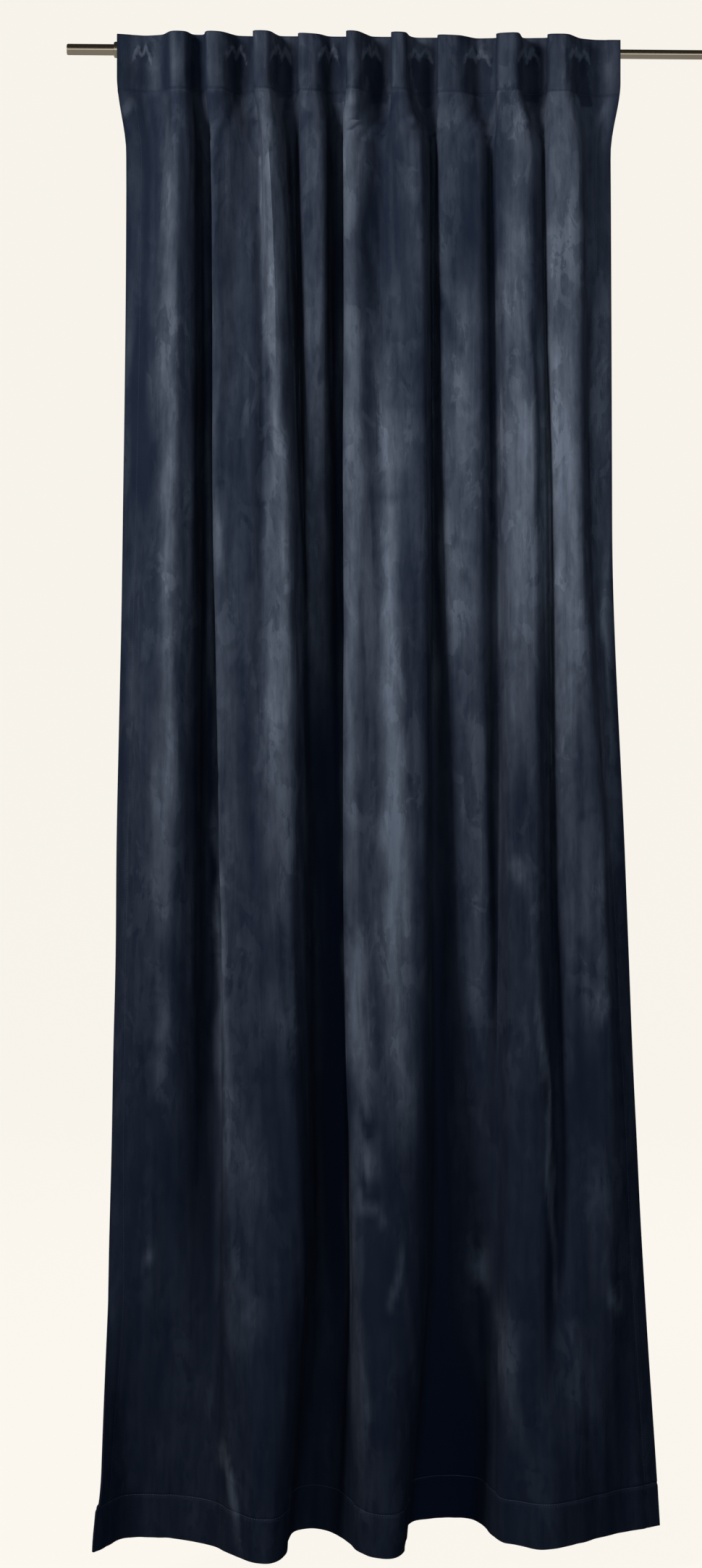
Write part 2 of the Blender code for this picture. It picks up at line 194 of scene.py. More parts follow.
Turn = namedtuple("Turn", ("name",) + LEVEL_NAMES)
TURNS = (
    Turn("left_edge", (-427, 21), (-411, 25), (-414, 32), (-424, 42), (-434, 60), (-450, 124)),
    Turn("left_dip", (-381, 4), (-372, 20), (-376, 50), (-391, 70), (-402, 75), (-421, 60)),
    Turn("left_foot", (-349, 15), (-344, 30), (-354, 56), (-362, 71), (-368, 74), (-382, 62)),
    Turn("left_roll", (-335, 58), (-329, 60), (-332, 62), (-331, 72), (-332, 72), (-343, 65)),
    Turn("left_shoulder", (-313, 56), (-306, 50), (-298, 46), (-298, 50), (-302, 58), (-310, 78)),
    Turn("floor_a", (-302, 19), (-286, 6), (-282, 10), (-280, 16), (-282, 42), (-290, 88)),
    Turn("valley_a", (-280, 18), (-260, 4), (-254, 8), (-246, 12), (-250, 35), (-271, 98)),
    Turn("fold_1_left", (-277, 62), (-269, 66), (-264, 74), (-255, 92), (-247, 112), (-245, 127)),
    Turn("fold_1_face", (-254, 56), (-238, 54), (-228, 71), (-228, 90), (-226, 114), (-226, 148)),
    Turn("floor_b", (-228, 12), (-208, 40), (-200, 69), (-208, 90), (-212, 120), (-208, 168)),
    Turn("valley_b", (-192, 8), (-186, 34), (-180, 62), (-192, 91), (-200, 125), (-190, 188)),
    Turn("fold_1_right", (-200, 70), (-178, 73), (-160, 79), (-168, 99), (-156, 131), (-174, 184)),
    Turn("fold_1_lee", (-175, 68), (-160, 58), (-140, 75), (-134, 92), (-120, 120), (-152, 160)),
    Turn("floor_c", (-157, 12), (-139, 8), (-122, 26), (-112, 40), (-108, 60), (-142, 72)),
    Turn("valley_c", (-117, 12), (-128, 4), (-114, 14), (-102, 24), (-98, 34), (-136, 40)),
    Turn("fold_2", (-125, 50), (-113, 54), (-108, 36), (-90, 14), (-84, 20), (-94, 34)),
    Turn("fold_2_lee", (-92, 40), (-82, 48), (-80, 32), (-70, 8), (-66, 12), (-75, 50)),
    Turn("floor_d", (-74, 13), (-66, 4), (-60, 2), (-54, 4), (-50, 8), (-66, 60)),
    Turn("valley_d", (-36, 13), (-43, 0), (-40, 0), (-37, 4), (-36, 8), (-56, 67)),
    Turn("fold_3_left", (-45, 78), (-51, 72), (-50, 76), (-51, 94), (-41, 122), (-18, 159)),
    Turn("fold_3_near", (-28, 73), (-34, 71), (-30, 76), (-20, 95), (-12, 130), (-6, 166)),
    Turn("floor_e", (-2, 15), (8, 42), (6, 66), (2, 94), (4, 136), (4, 170)),
    Turn("valley_e", (40, 14), (22, 38), (22, 66), (16, 96), (14, 140), (11, 173)),
    Turn("fold_3_right", (30, 69), (36, 62), (60, 68), (60, 88), (56, 126), (30, 170)),
    Turn("fold_3_end", (53, 66), (77, 62), (84, 66), (84, 82), (78, 116), (44, 158)),
    Turn("fold_3_lee", (61, 24), (88, 46), (91, 42), (92, 56), (92, 76), (50, 95)),
    Turn("valley_f", (72, 8), (98, 18), (98, 20), (98, 18), (104, 14), (56, 18)),
    Turn("rise_f", (116, 10), (110, 18), (104, 20), (111, 18), (122, 14), (80, 8)),
    Turn("fold_4_left", (109, 44), (111, 46), (120, 46), (138, 42), (154, 30), (106, 0)),
    Turn("fold_4_right", (146, 38), (178, 48), (178, 53), (190, 50), (202, 40), (173, 3)),
    Turn("floor_g", (175, 6), (196, 30), (198, 33), (203, 33), (207, 40), (182, 28)),
    Turn("valley_g", (214, 12), (205, 28), (208, 31), (212, 31), (212, 42), (190, 45)),
    Turn("fold_5_left", (207, 62), (210, 62), (223, 68), (225, 80), (218, 100), (205, 112)),
    Turn("fold_5_right", (241, 73), (262, 68), (269, 70), (268, 78), (280, 104), (240, 125)),
    Turn("fold_5_lee", (253, 13), (276, 50), (282, 50), (284, 54), (296, 80), (254, 140)),
    Turn("valley_h", (300, 18), (286, 38), (296, 40), (300, 38), (308, 62), (268, 154)),
    Turn("fold_6_left", (293, 60), (292, 60), (304, 64), (312, 66), (333, 84), (323, 125)),
    Turn("fold_6_right", (325, 62), (344, 62), (346, 64), (380, 72), (400, 80), (375, 99)),
    Turn("floor_i", (350, 15), (358, 24), (363, 34), (397, 38), (416, 60), (402, 78)),
    Turn("valley_i", (380, 2), (374, 18), (379, 28), (407, 34), (425, 54), (427, 75)),
    Turn("right_edge", (422, 3), (402, 20), (402, 27), (423, 30), (442, 44), (480, 50)),
)

BEND_AT_TOP = 0.0055
BEND_AT_HEM = 0.017
BEND_GROWS_BELOW = -1.20
SECTION_STEP = 0.0025
LENGTH_TRIES = 6
LENGTH_GAIN = 1.6
PULL_HALF_WIDTH = 0.013
PULL_BACK = 0.004
PULL_OVER_ROD = 0.4
UNDER_ROD_STARTS = (-0.014, -0.050)
UNDER_ROD_ENDS = (-0.130, -0.075)
OVER_ROD_STARTS = 0.010


def smooth_step(start, end, value):
    """Goes from 0 at start to 1 at end, level at both."""
    share = np.clip((value - start) / (end - start), 0.0, 1.0)
    return share * share * (3.0 - 2.0 * share)


def at_height(values, height):
    """Reads a fold line's value at any height, on a smooth curve through its levels."""
    levels = np.array(LEVEL_HEIGHTS)
    steps = np.diff(values) / np.diff(levels)
    slopes = np.zeros(len(levels))
    slopes[-1] = steps[-1]
    for level in range(1, len(steps)):
        if steps[level - 1] * steps[level] > 0.0:
            slopes[level] = 2.0 / (1.0 / steps[level - 1] + 1.0 / steps[level])
    height = min(max(height, levels[-1]), levels[0])
    upper = min(int(np.sum(levels > height)), len(levels) - 1) - 1
    upper = max(upper, 0)
    span = levels[upper + 1] - levels[upper]
    share = (height - levels[upper]) / span
    bend = share * share * (3.0 - 2.0 * share)
    leaving = slopes[upper] * span * share * (1.0 - share) ** 2
    arriving = slopes[upper + 1] * span * share * share * (share - 1.0)
    return values[upper] * (1.0 - bend) + values[upper + 1] * bend + leaving + arriving


def evenly(line, count):
    """Returns count points at even steps along a line, and the line's length."""
    steps = np.linalg.norm(np.diff(line, axis=0), axis=1)
    travel = np.concatenate([[0.0], np.cumsum(steps)])
    wanted = np.linspace(0.0, travel[-1], count)
    points = np.column_stack([np.interp(wanted, travel, line[:, axis]) for axis in range(2)])
    return points, travel[-1]


def rounded(line, bend):
    """Rounds the corners of a line of even points; its two ends stay in place."""
    reach = int(3.0 * bend / SECTION_STEP)
    offsets = np.arange(-reach, reach + 1) * SECTION_STEP
    weights = np.exp(-0.5 * (offsets / bend) ** 2)
    weights /= weights.sum()
    before = 2.0 * line[0] - line[reach:0:-1]
    after = 2.0 * line[-1] - line[-2:-reach - 2:-1]
    padded = np.vstack([before, line, after])
    return np.column_stack([np.convolve(padded[:, axis], weights, "valid") for axis in range(2)])


def section(height, count):
    """The cloth seen from above at one height, its folds as deep as its width needs."""
    across = [at_height(np.array([pair[0] for pair in turn[1:]]), height) for turn in TURNS]
    out = [at_height(np.array([pair[1] for pair in turn[1:]]), height) for turn in TURNS]
    across = np.array(across) / 1000.0
    out = np.array(out) / 1000.0
    bend = BEND_AT_TOP + (BEND_AT_HEM - BEND_AT_TOP) * smooth_step(BEND_GROWS_BELOW, CLOTH_BOTTOM, height)
    samples = int(CLOTH_WIDTH / SECTION_STEP)
    deepen = 1.0
    for _ in range(LENGTH_TRIES):
        line, _ = evenly(np.column_stack([across, out * deepen]), samples)
        line, length = evenly(rounded(line, bend), count)
        deepen *= 1.0 + LENGTH_GAIN * (CLOTH_WIDTH / length - 1.0)
    return line


def tab_pull(across, height):
    """How far the tabs draw the cloth back toward the wall."""
    under_rod = smooth_step(*UNDER_ROD_STARTS, height) * smooth_step(*UNDER_ROD_ENDS, height)
    over_rod = smooth_step(OVER_ROD_STARTS, CLOTH_TOP, height) * PULL_OVER_ROD
    near = sum(np.exp(-0.5 * ((across - place) / PULL_HALF_WIDTH) ** 2) for place in TAB_PLACES)
    return PULL_BACK * (under_rod + over_rod) * np.minimum(near, 1.0)


COLUMNS = 271
RowBand = namedtuple("RowBand", ("name", "end", "step"))
ROW_BANDS = (
    RowBand("top_rim", 0.0030, 0.0015),
    RowBand("over_the_rod", 0.088, 0.0050),
    RowBand("heading_seam", 0.103, 0.0015),
    RowBand("under_the_seam", 0.150, 0.0055),
    RowBand("body", CLOTH_DROP - 0.130, 0.0190),
    RowBand("above_the_hem", CLOTH_DROP - 0.080, 0.0070),
    RowBand("hem_seam", CLOTH_DROP - 0.064, 0.0016),
    RowBand("hem", CLOTH_DROP - 0.0020, 0.0090),
    RowBand("bottom_rim", CLOTH_DROP, 0.0020),
)

downs = np.zeros(1)
for band in ROW_BANDS:
    count = max(round((band.end - downs[-1]) / band.step), 1)
    downs = np.concatenate([downs, np.linspace(downs[-1], band.end, count + 1)[1:]])
rows = len(downs)
sheet = np.zeros((rows, COLUMNS, 3))
for row, down in enumerate(downs):
    height = CLOTH_TOP - down
    line = section(height, COLUMNS)
    sheet[row, :, 0] = line[:, 0]
    sheet[row, :, 1] = -VALLEY_BEFORE_AXIS - line[:, 1] + tab_pull(line[:, 0], height)
    sheet[row, :, 2] = height

lefts = np.linspace(0.0, CLOTH_WIDTH, COLUMNS)
from_left, from_top = np.meshgrid(lefts, downs)
from_side = np.minimum(from_left, CLOTH_WIDTH - from_left)
from_bottom = CLOTH_DROP - from_top


def soft_noise(cell_across, cell_down, seed):
    """Smooth unevenness of the cloth from -1 to 1, in cells of a given size."""
    chance = np.random.default_rng(seed)
    columns = int(CLOTH_WIDTH / cell_across) + 3
    lines = int(CLOTH_DROP / cell_down) + 3
    knots = chance.uniform(-1.0, 1.0, (lines, columns))
    right = from_left / cell_across
    low = from_top / cell_down
    column = right.astype(int)
    line = low.astype(int)
    right = smooth_step(0.0, 1.0, right - column)
    low = smooth_step(0.0, 1.0, low - line)
    upper = knots[line, column] * (1.0 - right) + knots[line, column + 1] * right
    lower = knots[line + 1, column] * (1.0 - right) + knots[line + 1, column + 1] * right
    return upper * (1.0 - low) + lower * low


def bump_at(value, middle, reach):
    """Goes to 1 at middle and fades away within about twice its reach."""
    return np.exp(-((value - middle) / reach) ** 2)


# Creases that the cloth was pressed or pulled into, as seen from the room: where each starts
# and ends (across, height), how far it bows to the right (or up, where it runs across), its
# reach and its depth, in millimetres. A depth below nothing is a ridge.
Crease = namedtuple("Crease", ("name", "start", "end", "bow", "reach", "depth"))
CREASES = (
    Crease("long_pull", (244, -349), (266, -829), 19, 6, 3.0),
    Crease("edge_below_it", (260, -1009), (292, -1969), 4, 6, -2.0),
    Crease("slanting_pull", (-20, -289), (64, -601), -6, 7, 3.0),
    Crease("short_slant", (112, -409), (154, -529), -4, 6, 2.5),
    Crease("press_mark_left", (-40, -599), (100, -599), 3, 7, 1.2),
    Crease("press_mark_middle", (119, -598), (172, -598), 0, 6, 1.6),
    Crease("press_mark_under", (-20, -751), (52, -751), 0, 8, 1.2),
    Crease("press_mark_low_left", (150, -1010), (190, -1018), 2, 7, 2.0),
    Crease("press_mark_low_right", (218, -1001), (262, -1012), -2, 7, 2.0),
    Crease("left_fold_mark", (-396, -1653), (-344, -1669), 3, 8, 1.8),
    Crease("left_fold_mark_under", (-361, -1758), (-338, -1755), 0, 8, 1.4),
    Crease("wide_fold_mark", (-254, -1697), (-121, -1697), 2, 8, 1.2),
    Crease("ripple_1", (-244, -2023), (-183, -2047), 2, 9, 2.2),
    Crease("ripple_2", (-240, -2052), (-190, -2079), 2, 9, 2.2),
    Crease("ripple_3", (-236, -2082), (-200, -2104), 2, 9, 1.8),
    Crease("low_wave", (-242, -2140), (-222, -2340), 6, 8, 2.6),
    Crease("nick_high", (-206, -880), (-200, -900), 0, 7, 2.0),
    Crease("nick_low", (-260, -1217), (-242, -1214), 0, 8, 2.2),
    Crease("nick_right", (137, -871), (164, -907), 3, 7, 2.6),
    Crease("nick_top", (134, -222), (148, -236), 2, 6, 2.0),
    Crease("hip_pull", (345, -1480), (390, -1680), 8, 9, 2.4),
    Crease("knee_pull", (-20, -1790), (40, -1900), 10, 10, 2.4),
    Crease("knee_pull_under", (-15, -1930), (44, -2010), -12, 10, 2.0),
)
CREASE_START = (-0.1, 0.25)
CREASE_END = (1.1, 0.75)


def press_creases(across, height):
    """How far the creases press each point of the cloth in, and how much its colour is darkened there, partly
    for flattened pile and partly as painted crease shade.
    """
    relief = np.zeros_like(across)
    flattened_and_shaded = np.zeros_like(across)
    for crease in CREASES:
        start = np.array(crease.start) / 1000.0
        run = np.array(crease.end) / 1000.0 - start
        length = np.hypot(*run)
        run /= length
        along = ((across - start[0]) * run[0] + (height - start[1]) * run[1]) / length
        aside = (across - start[0]) * run[1] - (height - start[1]) * run[0]
        aside = aside + crease.bow / 1000.0 * 4.0 * along * (1.0 - along)
        fade = smooth_step(*CREASE_START, along) * smooth_step(*CREASE_END, along)
        pressed = fade * bump_at(aside, 0.0, crease.reach / 1000.0)
        relief -= crease.depth / 1000.0 * pressed
        flattened_and_shaded = np.maximum(flattened_and_shaded, pressed * (crease.depth > 0.0))
    return relief, flattened_and_shaded


SEAM_TROUGH = 0.0011
SIDE_TROUGH_SHARE = 0.6
SEAM_REACH = 0.0024
PUCKER = 0.0008
PUCKER_REACH = 0.020
PUCKER_CELL = (0.016, 0.030)
HEM_STEP = 0.0006
HEM_STEP_WIDTH = 0.004
SIDE_STEP_WIDTH = 0.005
STREAKS_BEGIN = 0.05
WIDE_STREAK = 0.0020
WIDE_STREAK_CELL = (0.024, 0.40)
FINE_STREAK = 0.0008
FINE_STREAK_CELL = (0.012, 0.17)

across_tangent = np.gradient(sheet, axis=1)
down_tangent = np.gradient(sheet, axis=0)
outward = np.cross(down_tangent, across_tangent)
outward /= np.linalg.norm(outward, axis=2, keepdims=True)

across = sheet[:, :, 0]
height = sheet[:, :, 2]
below_heading = smooth_step(HEADING_DEPTH, HEADING_DEPTH + STREAKS_BEGIN, from_top)
relief = soft_noise(*WIDE_STREAK_CELL, 1) * WIDE_STREAK * below_heading
relief += soft_noise(*FINE_STREAK_CELL, 2) * FINE_STREAK * below_heading
crease_relief, flattened_and_shaded = press_creases(across, height)
relief += crease_relief
for seam in (HEADING_DEPTH, CLOTH_DROP - HEM_DEPTH):
    relief -= SEAM_TROUGH * bump_at(from_top, seam, SEAM_REACH)
    relief += soft_noise(*PUCKER_CELL, 3) * PUCKER * bump_at(from_top, seam, PUCKER_REACH)
relief -= SEAM_TROUGH * SIDE_TROUGH_SHARE * bump_at(from_side, SIDE_HEM, SEAM_REACH)
relief += HEM_STEP * smooth_step(HEM_DEPTH, HEM_DEPTH - HEM_STEP_WIDTH, from_bottom)
relief += HEM_STEP * smooth_step(SIDE_HEM, SIDE_HEM - SIDE_STEP_WIDTH, from_side)

# Where the rod holds the heading back, the cloth bulges over it and is crimped: two short ridges meet in an M
# below the rod's line, and under them the colour is painted dark, partly for the nap pressed down there and
# partly as painted shade on the hollow's floor.
# Millimetres: the place and half width of the M, then of the mark, its drift to the right down
# to mark_end; narrows is the share of its width lost on the way, dark how dark it is.
CRIMP_COLUMNS = ("name", "across", "half", "mark", "mark_half", "drift", "mark_end", "narrows", "dark")
Crimp = namedtuple("Crimp", CRIMP_COLUMNS)
CRIMPS = (
    Crimp("at_left_edge", -386, 7, -384, 9, -14, -84, 0.3, 0.5),
    Crimp("beside_fold_1", -230, 8, -230, 13, -2, -80, 0.3, 0.5),
    Crimp("right_of_fold_1", -154, 8, -150, 19, 4, -84, 0.3, 0.9),
    Crimp("left_of_fold_3", -74, 8, -60, 14, 4, -92, 0.2, 0.8),
    Crimp("middle", -2, 8, -1, 19, 15, -94, 0.2, 1.0),
    Crimp("right_of_fold_3", 80, 10, 84, 26, 8, -98, 0.6, 1.0),
    Crimp("beside_fold_4", 176, 10, 181, 25, -4, -78, 0.1, 0.85),
    Crimp("beside_fold_5", 262, 9, 263, 20, 5, -90, 0.3, 1.0),
    Crimp("beside_fold_6", 348, 9, 343, 20, 19, -95, 0.4, 1.0),
)
MARK_TOP = -0.013
MARK_REACH = 0.012
LIFT_REACH = 0.030
CRIMP_FAR = 4.0
CRIMP_EDGE = (2.6, 1.8)
BULGE_HEIGHT = 0.004
BULGE_REACH = 0.010
BULGE = 0.0030
M_RIDGE = 0.0030
M_REACH = 0.0045
M_TOP = -0.001
M_DROP = 0.014
crimp_aside = np.full_like(across, CRIMP_FAR)
mark_depth = np.full_like(across, -MARK_REACH)
pressed_and_shaded_mark = np.zeros_like(across)
near_mark = np.zeros_like(across)
for crimp in CRIMPS:
    aside = across - crimp.across / 1000.0
    crimp_aside = np.minimum(crimp_aside, np.abs(aside) / (crimp.half / 1000.0))
    mark_end = crimp.mark_end / 1000.0
    fall = (MARK_TOP - height) / (MARK_TOP - mark_end)
    half = crimp.mark_half / 1000.0 * (1.0 - crimp.narrows * fall)
    aside_mark = across - (crimp.mark + crimp.drift * fall) / 1000.0
    inside = half - np.abs(aside_mark)
    inside = np.minimum(inside, np.minimum(MARK_TOP - height, height - mark_end))
    mark_depth = np.maximum(mark_depth, inside)
    pressed_and_shaded_mark = np.maximum(pressed_and_shaded_mark, crimp.dark * (inside > -MARK_REACH))
    near_mark = np.maximum(near_mark, crimp.dark * bump_at(aside_mark, 0.0, LIFT_REACH))
crimp_below = (M_TOP - height) / M_DROP - np.abs(crimp_aside - 1.0)
in_crimp = smooth_step(*CRIMP_EDGE, crimp_aside)
relief += BULGE * in_crimp * bump_at(height, BULGE_HEIGHT, BULGE_REACH)
relief += M_RIDGE * in_crimp * bump_at(crimp_below * M_DROP, 0.0, M_REACH)

# The side hem and the bottom hem lie on each other at the lower left corner and kick out.
CORNER_FLARE = 0.0070
FLARE_HEIGHT = 0.130
FLARE_WIDTH = 0.050
CORNER_KICK = 0.0050
KICK_WIDTH = 0.012
KICK_TOP = (HEM_DEPTH + 0.006, HEM_DEPTH - 0.010)
sheet = sheet + outward * (DOUBLE_THICKNESS / 2.0 + relief)[:, :, None]
flare = smooth_step(FLARE_HEIGHT, 0.0, from_bottom) * smooth_step(FLARE_WIDTH, 0.0, from_left)
kick = smooth_step(*KICK_TOP, from_bottom) * smooth_step(KICK_WIDTH, 0.0, from_left)
sheet[:, :, 0] -= CORNER_FLARE * flare + CORNER_KICK * kick

# How light the velvet's colour is, from dark (0) to light (1), in soft patches seen from the room. The
# patches are partly the nap's lay and partly painted light and shade: lighter on crests and lit edges, darker
# on lee sides and in hollows. Places and half sizes in millimetres; lean is the drift across on the way down,
# over the patch's own length.
Patch = namedtuple("Patch", ("name", "across", "height", "half_width", "half_length", "lean", "share"))
PATCHES = (
    Patch("left_crest", -336, -520, 11, 330, -4, 0.20),
    Patch("left_crest_low", -338, -1020, 12, 290, 4, 0.40),
    Patch("left_border", -398, -620, 34, 600, -6, -0.100),
    Patch("left_neck_dark", -376, -205, 24, 130, 8, -0.06),
    Patch("left_hollow", -385, -565, 18, 120, 0, -0.06),
    Patch("left_panel", -350, -1290, 17, 200, -6, 0.30),
    Patch("left_border_low", -388, -1120, 18, 150, 0, 0.10),
    Patch("left_low", -350, -1640, 13, 100, 4, 0.22),
    Patch("left_spot", -369, -2008, 10, 16, 0, 0.20),
    Patch("wide_fold_edge", -262, -1240, 7, 560, 10, 0.26),
    Patch("wide_fold_wedge", -254, -817, 8, 60, 2, 0.30),
    Patch("wide_fold_lee", -203, -330, 15, 330, 10, -0.09),
    Patch("wide_fold_neck", -163, -280, 17, 220, 6, 0.36),
    Patch("wide_fold_crest", -154, -740, 12, 400, 16, 0.50),
    Patch("wide_fold_shine", -166, -960, 15, 210, 4, 0.26),
    Patch("wide_fold_hip", -156, -1230, 24, 200, 4, 0.34),
    Patch("wide_fold_panel", -242, -1220, 20, 290, 4, 0.11),
    Patch("wide_fold_low_left", -209, -1850, 24, 95, 8, 0.12),
    Patch("wide_fold_low_right", -157, -1605, 32, 55, 0, 0.12),
    Patch("wide_fold_ripples", -214, -2065, 26, 60, 10, 0.18),
    Patch("wide_fold_tip", -236, -2370, 9, 60, 12, 0.50),
    Patch("wide_fold_low_edge", -248, -1600, 8, 330, 12, 0.24),
    Patch("narrow_fold", -98, -160, 16, 150, 6, 0.10),
    Patch("narrow_fold_chest", -97, -640, 15, 240, 4, 0.14),
    Patch("narrow_fold_low", -92, -900, 15, 130, 4, 0.30),
    Patch("middle_neck", -31, -190, 18, 120, 4, 0.42),
    Patch("middle_edge", -34, -640, 13, 210, 4, 0.40),
    Patch("middle_edge_low", -38, -1090, 12, 370, 0, 0.38),
    Patch("middle_dip", -4, -900, 14, 260, 6, 0.20),
    Patch("middle_dip_low", -8, -1600, 18, 110, 4, 0.12),
    Patch("middle_top_dark", -10, -270, 16, 60, 6, -0.16),
    Patch("third_top_dark", 30, -290, 22, 260, 2, -0.10),
    Patch("middle_veil", 20, -600, 26, 130, 18, 0.20),
    Patch("middle_crest", 26, -990, 15, 370, 6, 0.72),
    Patch("middle_crest_low", 34, -1460, 24, 250, 4, 0.66),
    Patch("middle_swirl", -30, -1590, 15, 130, 4, 0.52),
    Patch("middle_swirl_gap", 2, -1600, 10, 80, 8, -0.12),
    Patch("middle_hook", -16, -1805, 16, 40, 8, 0.40),
    Patch("middle_hook_side", -33, -1850, 11, 44, 2, 0.16),
    Patch("middle_hook_gap", -18, -1765, 10, 22, 0, -0.30),
    Patch("middle_loop", 46, -1740, 22, 90, -6, 0.20),
    Patch("middle_stroke", 30, -2000, 7, 44, -8, 0.28),
    Patch("middle_arc", -12, -1915, 22, 16, 4, 0.28),
    Patch("middle_triangle", 4, -2030, 22, 44, 0, -0.14),
    Patch("middle_low_edge", -31, -2100, 12, 240, 10, 0.21),
    Patch("third_lee", 56, -190, 26, 90, 4, 0.10),
    Patch("fourth_edge", 128, -880, 11, 120, 4, 0.34),
    Patch("fourth_shoulder", 152, -560, 26, 130, 4, 0.30),
    Patch("fourth_middle", 157, -930, 26, 270, 4, 0.18),
    Patch("fourth_low", 170, -1400, 18, 200, 4, 0.20),
    Patch("fourth_spot", 177, -2030, 18, 26, 0, 0.40),
    Patch("fourth_top_dark", 166, -271, 18, 55, 0, -0.06),
    Patch("fourth_lee_dark", 203, -330, 13, 260, 2, -0.12),
    Patch("fourth_lee", 202, -900, 10, 120, 0, 0.15),
    Patch("fifth_neck", 246, -170, 20, 75, 4, 0.28),
    Patch("fifth_chest", 234, -379, 20, 120, 0, 0.42),
    Patch("fifth_crest", 244, -775, 25, 240, 2, 0.58),
    Patch("fifth_waist", 240, -1100, 20, 95, 2, 0.18),
    Patch("fifth_triangle", 240, -1392, 9, 20, 5, 0.32),
    Patch("fifth_low_line", 283, -1800, 4, 230, 12, 0.50),
    Patch("fifth_low_round", 221, -2203, 13, 95, 8, 0.26),
    Patch("fifth_lee", 283, -720, 13, 250, 2, 0.44),
    Patch("sixth_neck", 322, -240, 28, 210, 2, 0.38),
    Patch("sixth_crest", 318, -800, 24, 320, 8, 0.67),
    Patch("sixth_waist", 342, -1090, 28, 120, 10, 0.08),
    Patch("sixth_low", 346, -1420, 30, 170, 14, 0.16),
    Patch("sixth_low_dark", 345, -1810, 36, 190, 10, -0.045),
    Patch("sixth_blob", 382, -1590, 12, 22, 2, 0.40),
    Patch("sixth_hip", 366, -1941, 30, 115, 12, 0.10),
    Patch("sixth_point", 395, -2073, 9, 20, 6, 0.32),
    Patch("right_low", 345, -2196, 40, 80, 0, 0.08),
    Patch("right_neck", 380, -190, 22, 110, 0, 0.16),
    Patch("right_border", 388, -600, 22, 260, 0, 0.40),
    Patch("right_hollow", 380, -1240, 18, 200, 2, 0.20),
    Patch("right_hem_line", 393, -960, 5, 120, 0, 0.70),
    Patch("corner_below_seam_left", -410, -104, 14, 12, 0, 0.22),
    Patch("corner_below_seam_right", 393, -116, 14, 18, 0, 0.24),
)
HIGH_NAP = 0.125
LOW_NAP_AND_SHADE = 0.034
LEAST_NAP = 0.004
NAP_AND_SHADE_FALLS = (-0.9, -2.0)
NAP_STREAKS = 0.5
NAP_STREAK_CELL = (0.011, 0.30)
NAP_CLOUDS = 0.5
NAP_CLOUD_CELL = (0.045, 0.12)
HOLLOW_SHADE = 0.13
HOLLOW_SHADE_DROP = 0.036
HOLLOW_DEPTHS = (0.032, 0.014)
HOLLOWS_BEGIN = (-0.22, -0.45)
CREASE_PILE_AND_SHADE = 0.5
WANDER_ACROSS = 0.007
WANDER_ACROSS_CELL = (0.030, 0.070)
WANDER_DOWN = 0.030
WANDER_DOWN_CELL = (0.022, 0.110)
PATCH_SIDE_POWER = 2.6
PATCH_END_POWER = 3.0

wandering_across = across + WANDER_ACROSS * soft_noise(*WANDER_ACROSS_CELL, 4)
wandering_height = height + WANDER_DOWN * soft_noise(*WANDER_DOWN_CELL, 5)
# The colour is painted darker towards the bottom, partly for the nap and partly as painted shade standing in
# for light that falls off down the cloth.
nap = HIGH_NAP + (LOW_NAP_AND_SHADE - HIGH_NAP) * smooth_step(*NAP_AND_SHADE_FALLS, height)
nap += nap * (NAP_STREAKS * soft_noise(*NAP_STREAK_CELL, 6) + NAP_CLOUDS * soft_noise(*NAP_CLOUD_CELL, 7))
out_of_hollow = -VALLEY_BEFORE_AXIS - sheet[:, :, 1]
in_hollow = smooth_step(*HOLLOW_DEPTHS, out_of_hollow) * smooth_step(*HOLLOWS_BEGIN, height)
# Painted shade: the hollows between the folds are painted darker, and may go darker still below the usual
# floor.
nap -= HOLLOW_SHADE * in_hollow
for patch in PATCHES:
    fall = (patch.height / 1000.0 - wandering_height) / (patch.half_length / 1000.0)
    middle = (patch.across + patch.lean * fall) / 1000.0
    aside = (wandering_across - middle) / (patch.half_width / 1000.0)
    nap += patch.share * np.exp(-np.abs(aside) ** PATCH_SIDE_POWER - np.abs(fall) ** PATCH_END_POWER)
# The creases are painted darker: partly flattened pile, partly painted crease shade.
nap -= CREASE_PILE_AND_SHADE * flattened_and_shaded * np.maximum(nap, 0.0)

# In the heading the colour is painted with light and shade: painted shade in the hollows and on walls that
# face left, painted light on the folds and beside the marks, and lighter at two spots, in metres. The stitch
# line is painted dark as shade in its trough, with a painted highlight just below it on the folds; the rims
# are painted darker.
HEADING_FOLD_LIGHT = 0.17
HEADING_HOLLOW_SHADE = 0.040
HEADING_MARK_LIGHT = 0.120
HEADING_FADE = (HEADING_DEPTH + 0.016, HEADING_DEPTH - 0.010)
FOLD_DEPTHS = (0.030, 0.046)
LEFT_WALL_SHADE = 0.8
LEFT_WALL_TURN = (-0.60, -0.90)
HEADING_STREAKS = 0.5
HEADING_STREAK_CELL = (0.008, 0.060)
HEADING_CLOUDS = 0.3
HEADING_CLOUD_CELL = (0.016, 0.024)
Spot = namedtuple("Spot", ("name", "across", "across_reach", "height", "height_reach", "share"))
HEADING_SPOTS = (
    Spot("right_end", 0.396, 0.020, -0.030, 0.060, 0.20),
    Spot("left_dip", -0.362, 0.008, -0.050, 0.050, 0.12),
)
STITCH_LINE_SHADE = 0.6
STITCH_LINE_REACH = 0.0013
UNDER_LINE_HIGHLIGHT = 0.04
UNDER_LINE_DROP = 0.0040
UNDER_LINE_REACH = 0.0020
RIM_FADE = 0.0040
TOP_RIM = 0.0005
BOTTOM_RIM = 0.0015
SIDE_RIM_NAP = 0.4

